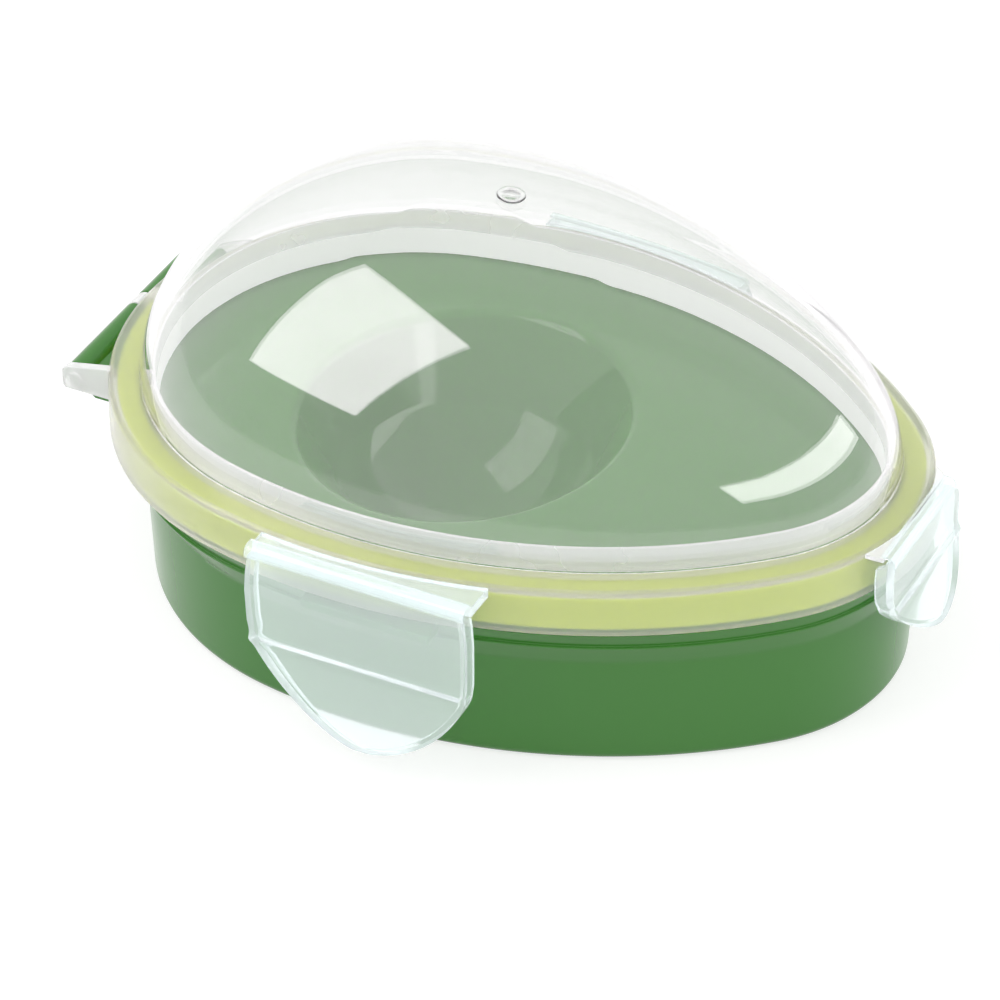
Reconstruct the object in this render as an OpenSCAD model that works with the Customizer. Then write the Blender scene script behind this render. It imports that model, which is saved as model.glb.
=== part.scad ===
// Avocado saver: a green bowl with a pit tray, a hinged see-through lid with a gasket, and three latches.
// X runs along the egg shape with the pointed end at +X, Z is up, and the origin is on the table.

/* [Egg outline] */
// Length of the dome where it meets the lid frame
egg_len = 120; // [112:0.5:130]
// Radius of the blunt end
blunt_r = 42; // [38:0.5:46]
// Radius of the pointed end
tip_r = 27; // [23:0.5:31]
// Radius of the long flanks
flank_r = 85; // [80:0.5:100]

/* [Bowl] */
// Height of the bowl's rim above the table
rim_z = 28.2; // [27.2:0.1:28.6]
// Height of the edge between the wall and the shoulder
wall_top_z = 19.3; // [16:0.1:20]
// Distance from the egg outline to the wall at its top
wall_out = 3; // [2:0.1:3.4]
// How much the wall leans inward from its top to the table
wall_draft = 0.8; // [0:0.1:1.4]
// Thickness of the wall
bowl_wall = 2.4; // [1.6:0.1:2.8]
// Thickness of the floor
bowl_floor = 2; // [1.4:0.1:3]
// Distance that the wall is set back at the blunt end, under the hinge
hinge_setback = 3.7; // [2:0.1:5]
// Distance that the rim is set back at the blunt end, so that the skirt swings past it
rim_setback = 1.2; // [1:0.1:1.8]
// Radius of the round edge at the foot of the wall
foot_round = 1.6; // [1:0.1:2.4]
// Thickness of the rim that the gasket closes on
rim_wall = 1.4; // [1:0.1:1.8]

/* [Tray] */
// Thickness of the tray
tray_t = 1.6; // [1.2:0.1:2]
// Distance from the middle of the egg to the middle of the pit cup
cup_x = -9.7; // [-14:0.1:0]
// Half the length of the pit cup at its mouth, inside the rolled lip
cup_mouth_r = 25; // [22:0.1:26]
// Width of the oval pit cup over its length
cup_oval = 1.13; // [1:0.01:1.15]
// Half the length of the pit cup at its step
cup_step_r = 19.4; // [16:0.1:21]
// Depth of the step below the deck
cup_step_depth = 8.6; // [6:0.1:10]
// Depth of the pit cup
cup_depth = 18.8; // [14:0.1:19.5]

/* [Lid frame] */
// Height of the top of the frame
frame_z = 33.2; // [32.5:0.1:35]
// Thickness of the frame's top
frame_t = 1.6; // [1.2:0.1:2]
// Distance from the egg outline to the outside of the frame
frame_out = 5; // [4.6:0.1:6]
// Thickness of the skirt and of the inner wall
skirt_t = 1.4; // [1:0.1:1.4]
// Height of the skirt's lower edge
skirt_z = 25.5; // [25.1:0.1:26]
// Height of the inner wall's lower edge
inner_wall_z = 27.7; // [27.6:0.1:28.4]
// Distance that the inner wall stands inside the egg outline
inner_wall_in = 1.9; // [1.7:0.1:2.2]
// Height of the collar that stands inside the dome, above the frame
collar_h = 3.2; // [2:0.1:3.4]

/* [Dome] */
// Height of the dome above the frame
dome_h = 35.7; // [30:0.1:42]
// Thickness of the dome
dome_t = 1.5; // [1:0.1:1.8]
// Distance of the dome's highest point from the middle of the egg
dome_top_x = -11; // [-18:0.5:0]
// Fullness of the dome, where 2 is an ellipse
dome_power = 1.84; // [1.6:0.01:2.2]

/* [Latches] */
// Width of the two side latches
side_latch_w = 35.4; // [30:0.2:40]
// Distance of the side latches from the middle of the egg
side_latch_x = -1; // [-4:0.1:4]
// Length of the side latches below their hinge
side_latch_len = 28; // [25:0.2:30]
// Height of the ridge above the lower edge on the side latches
side_lip = 12.6; // [8:0.2:13]
// Width of the tip latch
tip_latch_w = 25.6; // [22:0.2:28]
// Length of the tip latch below its hinge
tip_latch_len = 18; // [17:0.2:22]
// Height of the ridge above the lower edge on the tip latch
tip_lip = 6.4; // [5:0.2:8]
// Thickness of the latch plates
latch_t = 1.4; // [1.2:0.1:1.8]
// Distance that the lip flares outward at its lower edge
lip_flare = 3.4; // [2:0.1:5]
// Depth of the latch's side walls
cheek = 2.4; // [1.4:0.1:2.4]
// Length of the hooks, which stop one gap short of the lugs
hook_len = 1.1; // [0.6:0.1:1.4]

/* [Hinge] */
// Radius of the hinge pin
pin_r = 1; // [0.8:0.05:1.2]
// Radius of the knuckles
knuckle_r = 2.2; // [2:0.1:2.4]
// Distance from the egg outline to the pin
pin_out = 5.9; // [5.6:0.1:6.5]
// Distance from the middle to the outer face of the hinge
hinge_half_w = 21.7; // [18:0.1:24]
// Thickness of the outer arms
arm_t = 1.5; // [1.2:0.1:2.5]
// Thickness of the middle arm
middle_arm_t = 3.2; // [2:0.1:4]

/* [Clearances] */
// Gap between pieces that move past each other
gap = 0.3; // [0.25:0.01:0.4]
// Gap between the pin and the lid's bores, on the radius
pin_gap = 0.05; // [0.02:0.01:0.08]
// Gap between the rim and the gasket
seal_gap = 0.2; // [0.1:0.01:0.3]

/* [Hidden] */

GREEN = [0.33, 0.58, 0.30];
MILKY = [0.85, 0.90, 0.88, 0.8];
CLEAR = [0.92, 0.94, 0.94, 0.35];
LIME = [0.78, 0.82, 0.38];

eps = 0.1;
tip_cx = egg_len / 2 - tip_r;
arc_steps = [16, 24, 32];
shoulder_z = skirt_z - 0.8;
step_z = (wall_top_z + shoulder_z) / 2 + 0.2;
ledge_z = rim_z - 2.5;
deck_z = ledge_z + tray_t;
rim_out = frame_out - skirt_t - gap;
rim_in = rim_out - rim_wall;
cavity_out = wall_out - bowl_wall;
gasket_top = frame_z - frame_t;
seat_z = frame_z - 0.6;
dome_z = frame_z + 0.3;
pin_z = gasket_top - knuckle_r - gap;
pin_x = -egg_len / 2 - pin_out;
pin_end = hinge_half_w - 0.5;
latch_axis_z = frame_z - 0.9;
bead_r = latch_t / 2 + 0.1;
lug_z = [skirt_z - 2.2, skirt_z - 0.6];
side_axis_y = half_width() + frame_out + 3.16;
tip_axis_x = egg_len / 2 + frame_out + 1.6;
lug_w = 21;
lug_gap = hook_len + gap;
side_gap = gap + 0.1;
gate_dx = 9;

// Geometry of the egg outline whose blunt end is set back by b: centres and angles of its four arcs.
function arc_span(b) = egg_len - b - blunt_r - tip_r;
function flank_dx(b) = (pow(flank_r - blunt_r, 2) - pow(flank_r - tip_r, 2) + pow(arc_span(b), 2)) / (2 * arc_span(b));
function flank_dy(b) = sqrt(pow(flank_r - blunt_r, 2) - pow(flank_dx(b), 2));
function blunt_cx(b) = -egg_len / 2 + blunt_r + b;
function blunt_angle(b) = atan2(flank_dy(b), -flank_dx(b));
function tip_angle(b) = atan2(flank_dy(b), arc_span(b) - flank_dx(b));
function half_width() = flank_r - flank_dy(0);

// Points of an arc, without its last one.
function arc(cx, cy, r, a0, a1, n) = [for (i = [0 : n - 1]) let (a = a0 + (a1 - a0) * i / n) [cx + r * cos(a), cy + r * sin(a)]];

// Points of the egg outline at a distance o outside the driving one.
function egg(o, b = 0) =
    let (ta = tip_angle(b), ba = blunt_angle(b), fx = blunt_cx(b) + flank_dx(b), fy = flank_dy(b))
    concat(arc(tip_cx, 0, tip_r + o, -ta, ta, arc_steps[0]),
           arc(fx, -fy, flank_r + o, ta, ba, arc_steps[1]),
           arc(blunt_cx(b), 0, blunt_r + o, ba, 360 - ba, arc_steps[2]),
           arc(fx, fy, flank_r + o, 360 - ba, 360 - ta, arc_steps[1]));

function at_height(pts, z) = [for (p = pts) [p[0], p[1], z]];
function egg_rings(path) = [for (s = path) at_height(egg(s[0], s[2]), s[1])];

// Triangles between ring k and the next one, where m rings of n points close on the first.
function band(k, n, m) = let (a = k * n, b = (k + 1) % m * n) [for (i = [0 : n - 1]) let (j = (i + 1) % n)
    each [[a + i, b + i, b + j], [a + i, b + j, a + j]]];

// A closed skin over rings of points, from a cap that faces down to a cap that faces up.
module skin(rings) {
    n = len(rings[0]);
    m = len(rings);
    sides = [for (k = [0 : m - 2]) each band(k, n, m)];
    low = [for (i = [0 : n - 1]) i];
    high = [for (i = [n - 1 : -1 : 0]) (m - 1) * n + i];
    polyhedron(points = [for (r = rings) each r], faces = concat([low], sides, [high]), convexity = 6);
}

// A closed section carried all the way round the egg.
module ring_skin(path) {
    rings = egg_rings([for (s = path) [s[0], s[1], 0]]);
    n = len(rings[0]);
    m = len(rings);
    polyhedron(points = [for (r = rings) each r], faces = [for (k = [0 : m - 1]) each band(k, n, m)], convexity = 8);
}

// A shape drawn in X and Z, given its thickness along Y about the middle.
module slab_y(t) {
    translate([0, t / 2, 0]) rotate([90, 0, 0]) linear_extrude(t) children();
}

// Bowl
foot_in = wall_out - wall_draft;
bowl_path = [
    [foot_in - foot_round, 0, hinge_setback],
    [foot_in - 0.5 * foot_round, 0.13 * foot_round, hinge_setback],
    [foot_in - 0.13 * foot_round, 0.5 * foot_round, hinge_setback],
    [foot_in, foot_round, hinge_setback],
    [wall_out, wall_top_z, hinge_setback],
    [wall_out + 0.9, step_z, hinge_setback / 2],
    [wall_out + 0.55, step_z + 0.15, hinge_setback / 2],
    [rim_out + 0.7, shoulder_z, 0],
    [rim_out, shoulder_z + 0.1, rim_setback],
    [rim_out, rim_z - 0.4, rim_setback],
    [rim_out - 0.4, rim_z, rim_setback],
    [rim_in + 0.4, rim_z, rim_setback],
    [rim_in, rim_z - 0.4, rim_setback],
    [rim_in, ledge_z, rim_setback],
    [cavity_out, ledge_z, rim_setback],
    [cavity_out, ledge_z - 1.8, rim_setback],
    [cavity_out, wall_top_z - 0.8, hinge_setback],
    [cavity_out - wall_draft, bowl_floor + 1.6, hinge_setback],
    [cavity_out - wall_draft - 0.5, bowl_floor + 0.5, hinge_setback],
    [cavity_out - wall_draft - 1.6, bowl_floor, hinge_setback]];

module base_bowl() color(GREEN) {
    difference() {
        union() {
            skin(egg_rings(bowl_path));
            hinge_block();
            side_lug(-1);
            side_lug(1);
            tip_lug();
        }
        pin_bore(pin_r + 0.02);
    }
}

// Ledge under the skirt that a side latch hooks.
module side_lug(side) {
    y_in = half_width() + 2.4;
    y_out = side_axis_y - latch_t / 2 - lug_gap;
    translate([side_latch_x - lug_w / 2, side > 0 ? y_in : -y_out, lug_z[0]])
        cube([lug_w, y_out - y_in, lug_z[1] - lug_z[0]]);
}

module tip_lug() {
    x_in = egg_len / 2 + 2.4;
    x_out = tip_axis_x - latch_t / 2 - lug_gap;
    translate([x_in, -lug_w / 4, lug_z[0]]) cube([x_out - x_in, lug_w / 2, lug_z[1] - lug_z[0]]);
}

// Two green knuckles on a block that grows out of the blunt end. Its top stays low, so that the gasket swings past.
module hinge_block() {
    y0 = middle_arm_t / 2 + gap;
    y1 = hinge_half_w - arm_t - side_gap;
    for (side = [-1, 1]) difference() {
        translate([0, side * (y0 + y1) / 2, 0]) slab_y(y1 - y0) union() {
            translate([pin_x, pin_z]) circle(r = knuckle_r, $fn = 60);
            polygon([[pin_x - 1, pin_z], [pin_x + 0.6, pin_z - knuckle_r + 0.1], [pin_x + 2.6, skirt_z - 0.1],
                     [pin_x + 5.2, skirt_z - 0.1], [pin_x + 5.8, shoulder_z - 0.2], [pin_x + 12, shoulder_z - 0.2],
                     [pin_x + 12, pin_z + 0.9], [pin_x + 2, pin_z + 0.9]]);
        }
        translate([0, 0, step_z - 3]) linear_extrude(rim_z - step_z + 2.7) polygon(egg(rim_in + 0.3, rim_setback));
        translate([0, 0, rim_z - 0.4]) linear_extrude(10) polygon(egg(rim_out + 0.5));
    }
}

// The bores are blind, so that the outer arms hide the ends of the pin.
module pin_bore(r) {
    translate([pin_x, pin_end + 0.1, pin_z]) rotate([90, 0, 0]) cylinder(h = 2 * pin_end + 0.2, r = r, $fn = 48);
}

// Tray
module pit_tray() color(GREEN) {
    edge = rim_in - gap;
    plate_path = [[edge, ledge_z, rim_setback], [edge, deck_z - 0.4, rim_setback], [edge - 0.4, deck_z, rim_setback]];
    difference() {
        skin(egg_rings(plate_path));
        translate([cup_x, 0, ledge_z - 1]) scale([1, cup_oval, 1])
            cylinder(h = 4 + tray_t, r = cup_mouth_r + 1.4, $fn = 180);
    }
    translate([cup_x, 0, 0]) scale([1, cup_oval, 1]) pit_cup();
}

// Cup with a rolled mouth, a step and a round floor, before it is made oval.
module pit_cup() {
    bottom_z = deck_z - cup_depth;
    step = deck_z - cup_step_depth;
    bowl_r = cup_step_r - 0.6;
    inside = concat(
        [[cup_mouth_r + 1.6, deck_z], [cup_mouth_r + 0.8, deck_z - 0.2], [cup_mouth_r, deck_z - 1],
         [cup_step_r + 1.2, step + 1.6], [cup_step_r, step], [bowl_r, step]],
        [for (a = [10 : 10 : 80]) [bowl_r * cos(a), step - (step - bottom_z) * sin(a)]],
        [[0, bottom_z]]);
    outside = concat(
        [[0, bottom_z - tray_t]],
        [for (a = [80 : -10 : 10]) [(bowl_r + tray_t) * cos(a), step - tray_t - (step - bottom_z) * sin(a)]],
        [[bowl_r + tray_t, step - tray_t], [cup_step_r + tray_t, step - 0.4], [cup_mouth_r + 0.4, ledge_z],
         [cup_mouth_r + 1.6, ledge_z]]);
    rotate_extrude($fn = 180) polygon(concat(inside, outside));
}

// Hinge pin
module hinge_pin() color(GREEN) {
    translate([pin_x, pin_end, pin_z]) rotate([90, 0, 0]) cylinder(h = 2 * pin_end, r = pin_r, $fn = 48);
}

// How far the dome leans in at the top of the collar, with its clearance
collar_tilt = asin(pow((collar_h - 0.3) / (dome_h - dome_t), dome_power / 2));
collar_lean = (egg_len / 2 - dome_top_x) * (1 - pow(cos(collar_tilt), 2 / dome_power)) + 0.2;

// Lid frame
frame_profile = [
    [frame_out - skirt_t, skirt_z], [frame_out, skirt_z], [frame_out - 0.1, frame_z - 0.9],
    [frame_out - 0.35, frame_z - 0.3], [frame_out - 0.9, frame_z], [eps, frame_z], [eps, seat_z],
    [-dome_t - 0.15, seat_z], [-dome_t - collar_lean, frame_z + collar_h],
    [-dome_t - collar_lean - 0.6, frame_z + collar_h], [-dome_t - 1, seat_z - 0.2],
    [-inner_wall_in, seat_z - 0.8], [-inner_wall_in, inner_wall_z], [-inner_wall_in + 1, inner_wall_z],
    [-inner_wall_in + 1, gasket_top], [frame_out - skirt_t, gasket_top]];

module lid_frame() color(MILKY) {
    difference() {
        union() {
            difference() {
                ring_skin(frame_profile);
                hinge_relief();
            }
            side_ear(-1);
            side_ear(1);
            tip_ear();
            lid_arms();
        }
        pin_bore(pin_r + pin_gap);
        for (side = [-1, 1]) translate([side_latch_x, side * side_axis_y, latch_axis_z]) latch_room(side_latch_w);
        translate([tip_axis_x, 0, latch_axis_z]) rotate([0, 0, 90]) latch_room(tip_latch_w);
    }
}

// Groove for a latch's bead, open below for its plate.
module latch_room(w) {
    h = latch_t / 2 + gap;
    bar_x(w + 2) union() {
        circle(r = bead_r + gap, $fn = 48);
        translate([-h, -4]) square([2 * h, 4]);
    }
}

// Space that the green knuckles need under the frame.
module hinge_relief() {
    half = hinge_half_w - arm_t;
    translate([pin_x - 5, -half, skirt_z - 5]) cube([20, 2 * half, gasket_top - skirt_z + 5]);
}

// Shelf that carries a side latch, straight along its outer edge.
module side_ear(side) {
    translate([side_latch_x - side_latch_w / 2, side > 0 ? half_width() / 2 : -side_axis_y, frame_z - 1.9]) difference() {
        cube([side_latch_w, side_axis_y - half_width() / 2, 1.8]);
        translate([side_latch_w / 2 - side_latch_x, side > 0 ? -half_width() / 2 : side_axis_y, -1])
            linear_extrude(4) polygon(egg(frame_out - skirt_t / 2));
    }
}

module tip_ear() {
    x0 = tip_cx + tip_r / 2;
    difference() {
        translate([x0, -tip_latch_w / 2, frame_z - 1.9]) cube([tip_axis_x - x0, tip_latch_w, 1.8]);
        translate([0, 0, frame_z - 3]) linear_extrude(4) polygon(egg(frame_out - skirt_t / 2));
    }
}

// Three arms that reach out to the pin.
module lid_arms() {
    for (side = [-1, 1]) translate([0, side * (hinge_half_w - arm_t / 2), 0]) slab_y(arm_t)
        polygon([[pin_x - knuckle_r, pin_z - knuckle_r + 0.6], [pin_x - knuckle_r + 0.6, pin_z - knuckle_r],
                 [pin_x + 6.6, pin_z - knuckle_r], [pin_x + 6.6, frame_z - 0.4], [pin_x + 5.8, frame_z - 0.4],
                 [pin_x - knuckle_r + 0.8, pin_z + knuckle_r], [pin_x - knuckle_r, pin_z + knuckle_r - 0.6]]);
    slab_y(middle_arm_t) union() {
        translate([pin_x, pin_z]) circle(r = knuckle_r, $fn = 60);
        polygon([[pin_x, pin_z + knuckle_r], [pin_x + 2.6, frame_z - 0.4], [pin_x + 5, frame_z - 0.4],
                 [pin_x + 5, gasket_top + 0.1], [pin_x + 2.4, gasket_top + 0.1], [pin_x + 1.6, pin_z + 1.2]]);
    }
}

// Dome
function dome_ring(t, grow, z0, h) =
    let (s = pow(cos(t), 2 / dome_power), z = z0 + h * pow(sin(t), 2 / dome_power))
    [for (p = egg(grow)) [dome_top_x + (p[0] - dome_top_x) * s, p[1] * s, z]];

module dome_cover() color(CLEAR) {
    tilt = concat([for (t = [0 : 6 : 84]) t], [88]);
    outer = concat([at_height(egg(0), seat_z)], [for (t = tilt) dome_ring(t, 0, dome_z, dome_h)]);
    inner = concat([at_height(egg(-dome_t), seat_z)], [for (t = tilt) dome_ring(t, -dome_t, dome_z, dome_h - dome_t)]);
    last = len(inner) - 1;
    gate_tilt = acos(pow(gate_dx / (egg_len / 2 - dome_top_x), dome_power / 2));
    gate_z = dome_z + dome_h * pow(sin(gate_tilt), 2 / dome_power);
    difference() {
        skin(concat([for (i = [last : -1 : 0]) inner[i]], outer));
        translate([dome_top_x + gate_dx, 0, gate_z + 4.1]) sphere(r = 4.6, $fn = 60);
    }
    translate([dome_top_x + gate_dx, 0, gate_z - 0.8]) cylinder(h = 0.7, r = 0.6, $fn = 24);
}

// Gasket
module gasket() color(LIME) {
    ring_skin([[0.2, rim_z + seal_gap + 0.6], [0.8, rim_z + seal_gap], [rim_out - 0.4, rim_z + seal_gap],
                [rim_out + 0.1, rim_z + seal_gap + 0.5], [rim_out + 0.1, gasket_top - 0.4], [rim_out - 0.3, gasket_top],
                [0.6, gasket_top], [0.2, gasket_top - 0.4]]);
}

// Latch drawn with its hinge axis along X at the origin and its outside towards -Y.
module latch(w, length, lip, hook_w) {
    ridge_z = lip - length;
    hook_top = lug_z[0] - gap - latch_axis_z;
    intersection() {
        union() {
            bar_x(w + 2) latch_section(length, ridge_z);
            for (x = [-w / 2 - 1, w / 2 - latch_t]) translate([x, 0, ridge_z + 0.8])
                cube([latch_t + 1, latch_t / 2 + cheek, -ridge_z - 1 - bead_r - gap]);
        }
        rotate([90, 0, 0]) translate([0, 0, -10]) linear_extrude(20) latch_outline(w, length, ridge_z);
    }
    translate([-hook_w / 2, 0, hook_top - 1.4]) cube([hook_w, latch_t / 2 + hook_len, 1.4]);
}

// Bead, plate, ridge and flared lip, seen along the hinge axis with the outside to the left.
module latch_section(length, ridge_z) {
    h = latch_t / 2;
    circle(r = bead_r, $fn = 48);
    translate([-h, ridge_z]) circle(r = 0.6, $fn = 32);
    polygon([[h, 0], [-h, 0], [-h, ridge_z], [-h - lip_flare, -length], [h - lip_flare, -length], [h, ridge_z]]);
}

// Plate with a round lower edge, seen from outside.
module latch_outline(w, length, ridge_z) {
    r = lip_round(w, length + ridge_z);
    intersection() {
        union() {
            translate([-w, ridge_z + 0.5]) square([2 * w, 3 - ridge_z]);
            translate([0, r - length]) circle(r = r, $fn = 120);
        }
        translate([-w / 2, -length - 1]) square([w, length + 4]);
    }
}

// Bar along X, about the middle, of a section drawn in Y and Z.
module bar_x(w) {
    translate([-w / 2, 0, 0]) rotate([90, 0, 90]) linear_extrude(w) children();
}

// Radius of the lower edge: it meets both sides of the plate at the ridge.
function lip_round(w, lip) = (pow(w / 2, 2) + lip * lip) / (2 * lip);

module latch_front() color(MILKY) translate([side_latch_x, -side_axis_y, latch_axis_z])
    latch(side_latch_w, side_latch_len, side_lip, lug_w);

module latch_back() color(MILKY) translate([side_latch_x, side_axis_y, latch_axis_z]) mirror([0, 1, 0])
    latch(side_latch_w, side_latch_len, side_lip, lug_w);

module latch_tip() color(MILKY) translate([tip_axis_x, 0, latch_axis_z]) rotate([0, 0, 90])
    latch(tip_latch_w, tip_latch_len, tip_lip, lug_w / 2);

base_bowl();
pit_tray();
hinge_pin();
lid_frame();
dome_cover();
gasket();
latch_front();
latch_back();
latch_tip();
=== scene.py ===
# %% [markdown]
# # Dressing an avocado saver
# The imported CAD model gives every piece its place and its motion. This lesson gives each piece its looks:
# a satin green bowl, a polished green tray, a clear dome, and a milky lid frame with a lime seal and
# three snap latches. Sizes are in millimetres, and repeat the ones that the solids were built with. Where
# a finish or a thin edge needs more than the solid has, the text says so.

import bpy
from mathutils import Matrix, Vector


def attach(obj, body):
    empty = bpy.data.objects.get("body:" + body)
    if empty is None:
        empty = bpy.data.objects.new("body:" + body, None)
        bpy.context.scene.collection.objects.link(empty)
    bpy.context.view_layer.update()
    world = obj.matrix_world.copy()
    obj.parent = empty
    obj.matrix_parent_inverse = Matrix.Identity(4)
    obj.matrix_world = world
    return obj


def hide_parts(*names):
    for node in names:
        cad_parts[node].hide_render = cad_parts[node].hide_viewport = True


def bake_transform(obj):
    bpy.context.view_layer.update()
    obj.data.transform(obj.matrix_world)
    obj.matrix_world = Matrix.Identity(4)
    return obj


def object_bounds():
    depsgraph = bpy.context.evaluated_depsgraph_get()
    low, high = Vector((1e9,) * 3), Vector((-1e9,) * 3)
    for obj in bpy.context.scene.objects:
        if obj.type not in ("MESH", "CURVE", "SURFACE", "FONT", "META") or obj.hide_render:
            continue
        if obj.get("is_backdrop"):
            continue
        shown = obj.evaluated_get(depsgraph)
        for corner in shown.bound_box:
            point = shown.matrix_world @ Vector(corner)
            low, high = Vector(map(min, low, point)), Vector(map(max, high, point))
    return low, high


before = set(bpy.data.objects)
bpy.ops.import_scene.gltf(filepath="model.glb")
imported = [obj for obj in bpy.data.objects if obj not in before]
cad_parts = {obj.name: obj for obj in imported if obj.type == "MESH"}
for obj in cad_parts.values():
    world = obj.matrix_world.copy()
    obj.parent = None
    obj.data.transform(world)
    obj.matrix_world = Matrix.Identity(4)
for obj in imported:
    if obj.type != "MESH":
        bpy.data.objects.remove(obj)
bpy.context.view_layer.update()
print("the frame holds", len(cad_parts), "CAD nodes")

# %% [markdown]
# ## Millimetres and metres
# The saver is small, so its sizes are easiest to read in millimetres, while Blender works in metres here.
# One factor between the two keeps the numbers short.

# %% Modules and units
import math

import bmesh
import bpy
from mathutils import Matrix, Vector

MM = 0.001

# %% [markdown]
# ## The camera
# The photograph was taken from the front right, looking down at about 36 degrees, with a long lens. A
# camera could be placed by eye, but here its angles, distance and lens come from a fit to the outlines of
# dome, frame and bowl. A long lens far away keeps the egg shape nearly free of perspective.

# %% Camera
CAM_AZIMUTH = math.radians(26.658)
CAM_ELEVATION = math.radians(36.103)
CAM_DISTANCE = 825 * MM
CAM_TARGET = Vector((3.962, -15.56, 25.307)) * MM
CAM_LENS = 198.8
CAM_NEAREST = 50 * MM
CAM_FARTHEST = 20000 * MM

camera_data = bpy.data.cameras.new("camera")
camera_data.lens = CAM_LENS
camera_data.clip_start = CAM_NEAREST
camera_data.clip_end = CAM_FARTHEST
camera = bpy.data.objects.new("camera", camera_data)
bpy.context.scene.collection.objects.link(camera)
back = Vector((math.sin(CAM_AZIMUTH) * math.cos(CAM_ELEVATION),
               -math.cos(CAM_AZIMUTH) * math.cos(CAM_ELEVATION), math.sin(CAM_ELEVATION)))
camera.location = CAM_TARGET + back * CAM_DISTANCE
camera.rotation_euler = (-back).to_track_quat("-Z", "Y").to_euler()
bpy.context.scene.camera = camera
print("camera stands at, in mm:", [round(v / MM) for v in camera.location])

# %% [markdown]
# ## The egg outline
# Every level of the saver is the same egg, seen from above. It could be drawn as a free curve, but four
# arcs that run into each other without a corner are what a mould maker draws: a blunt end, a pointed end
# and two long flanks. Moving all arcs out by one offset then gives a parallel egg, so walls keep an even
# thickness. The bowl's own egg is set back at the blunt end, where the hinge needs room.

# %% Egg outline
EGG_LEN = 120.0
BLUNT_R = 42.0
TIP_R = 27.0
FLANK_R = 85.0
TIP_X = EGG_LEN / 2 - TIP_R
TIP_STEPS, FLANK_STEPS, BLUNT_STEPS = 44, 64, 80


def arc(cx, cy, radius, a0, a1, steps):
    """Points on an arc from a0 to a1, in radians. The last point is left to the arc that follows."""
    turns = [a0 + (a1 - a0) * i / steps for i in range(steps)]
    return [(cx + radius * math.cos(a), cy + radius * math.sin(a)) for a in turns]


def egg(offset, setback=0.0):
    """Points of the outline at this offset, counterclockwise from the pointed end."""
    blunt_x = -EGG_LEN / 2 + BLUNT_R + setback
    span = TIP_X - blunt_x
    dx = ((FLANK_R - BLUNT_R) ** 2 - (FLANK_R - TIP_R) ** 2 + span ** 2) / (2 * span)
    dy = math.sqrt((FLANK_R - BLUNT_R) ** 2 - dx ** 2)
    blunt_a = math.atan2(dy, -dx)
    tip_a = math.atan2(dy, span - dx)
    flank_x = blunt_x + dx
    whole = 2 * math.pi
    return (arc(TIP_X, 0, TIP_R + offset, -tip_a, tip_a, TIP_STEPS)
            + arc(flank_x, -dy, FLANK_R + offset, tip_a, blunt_a, FLANK_STEPS)
            + arc(blunt_x, 0, BLUNT_R + offset, blunt_a, whole - blunt_a, BLUNT_STEPS)
            + arc(flank_x, dy, FLANK_R + offset, whole - blunt_a, whole - tip_a, FLANK_STEPS))


def egg_ring(offset, z, setback=0.0):
    return [(x, y, z) for x, y in egg(offset, setback)]


HALF_WIDTH = max(y for x, y in egg(0))
print("half width of the egg:", round(HALF_WIDTH, 2))

# %% [markdown]
# ## One object at a time
# Blender's operators act on all that is selected, as they do by hand. So each step first leaves edit
# mode, drops the selection and picks the one object that it works on.

# %% Selecting


def start_alone():
    if bpy.context.object and bpy.context.object.mode != "OBJECT":
        bpy.ops.object.mode_set(mode="OBJECT")
    bpy.ops.object.select_all(action="DESELECT")


def use(obj):
    start_alone()
    obj.select_set(True)
    bpy.context.view_layer.objects.active = obj


# %% [markdown]
# ## Carrying a ring through levels
# A moulded shell is one closed wall. It could be cut out of a block, but then its many levels would be
# hard to find again. By hand it starts as a circle that is pulled onto the outline, and its edges are
# extruded again and again, from level to level: up the outside, over the rim and down the inside. The
# helpers below do that.

# %% Rings of edges


def pull(obj, ring, points):
    """Moves the ring's vertices, in edit mode, onto the points."""
    for v, p in zip(ring, points):
        v.co = Vector(p) * MM
    bmesh.update_edit_mesh(obj.data)


def first_ring(name, points):
    """A primitive circle in edit mode, pulled onto the points."""
    start_alone()
    bpy.ops.mesh.primitive_circle_add(vertices=len(points), radius=MM)
    obj = bpy.context.object
    obj.name = obj.data.name = name
    bpy.ops.object.mode_set(mode="EDIT")
    bpy.ops.mesh.select_all(action="SELECT")
    pull(obj, list(bmesh.from_edit_mesh(obj.data).verts), points)
    return obj


def extrude_to(obj, points):
    """Extrudes the selected ring onto the points, each new vertex beside the one that it came from."""
    bpy.ops.mesh.extrude_region_move()
    mesh = bmesh.from_edit_mesh(obj.data)
    mesh.verts.index_update()
    ring = [v for v in mesh.verts if v.select]
    came_from = {}
    for v in ring:
        came_from[v] = next(e.other_vert(v).index for e in v.link_edges if not e.other_vert(v).select)
    ring.sort(key=came_from.get)
    pull(obj, ring, points)


def pick(obj, wanted):
    """Selects only the vertices whose number is wanted."""
    bpy.ops.mesh.select_all(action="DESELECT")
    mesh = bmesh.from_edit_mesh(obj.data)
    for v in mesh.verts:
        v.select = v.index in wanted
    mesh.select_flush(True)
    bmesh.update_edit_mesh(obj.data)


# %% [markdown]
# ## Closing the skin
# A row of rings is still open at its two ends. A foot or a bar is capped with a flat face, a cup or a
# dome is drawn to a point in its middle, and a ring such as the lid frame is joined end to end, as a
# hoop.

# %% Closed skins


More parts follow.
